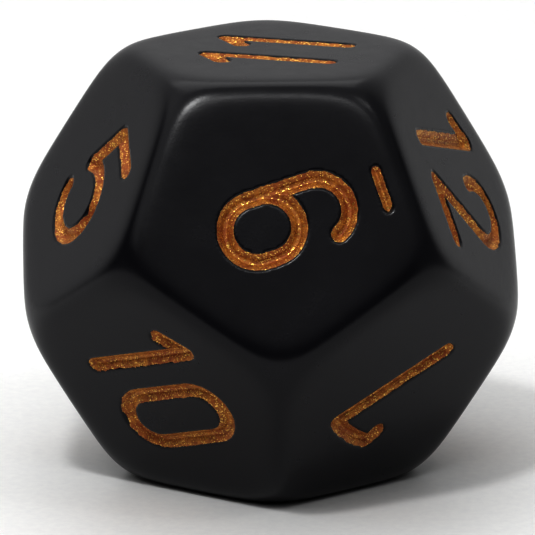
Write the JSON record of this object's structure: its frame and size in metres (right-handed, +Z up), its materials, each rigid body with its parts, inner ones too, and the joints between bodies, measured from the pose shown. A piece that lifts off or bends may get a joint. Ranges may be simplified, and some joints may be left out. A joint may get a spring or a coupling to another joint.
{
  "type": "polyhedral die",
  "caption": "Solid black regular dodecahedron with softly rounded edges and engraved, orange-gold painted numerals, rolled to pick a number by chance.",
  "frame": {"origin": "middle of the bottom face, the face numbered 2, where the die rests", "axes": "+Z up through the face numbered 11; -Y towards the face numbered 9; +X towards the side of the face numbered 12"},
  "size_m": [0.0208, 0.0214, 0.018],
  "materials": {
    "black_plastic": "satin, tumbled, opaque black",
    "orange_gold_paint": "orange-gold metallic acrylic paint, brushed into the grooves, slightly ragged at its edges"
  },
  "bodies": {
    "root": {"die_body": "black_plastic", "numeral_1_paint": "orange_gold_paint", "numeral_2_paint": "orange_gold_paint", "numeral_3_paint": "orange_gold_paint", "numeral_4_paint": "orange_gold_paint", "numeral_5_paint": "orange_gold_paint", "numeral_6_paint": "orange_gold_paint", "numeral_6_underline_paint": "orange_gold_paint", "numeral_7_paint": "orange_gold_paint", "numeral_8_paint": "orange_gold_paint", "numeral_9_paint": "orange_gold_paint", "numeral_9_underline_paint": "orange_gold_paint", "numeral_10_tens_paint": "orange_gold_paint", "numeral_10_units_paint": "orange_gold_paint", "numeral_11_tens_paint": "orange_gold_paint", "numeral_11_units_paint": "orange_gold_paint", "numeral_12_tens_paint": "orange_gold_paint", "numeral_12_units_paint": "orange_gold_paint"}
  },
  "joints": []
}
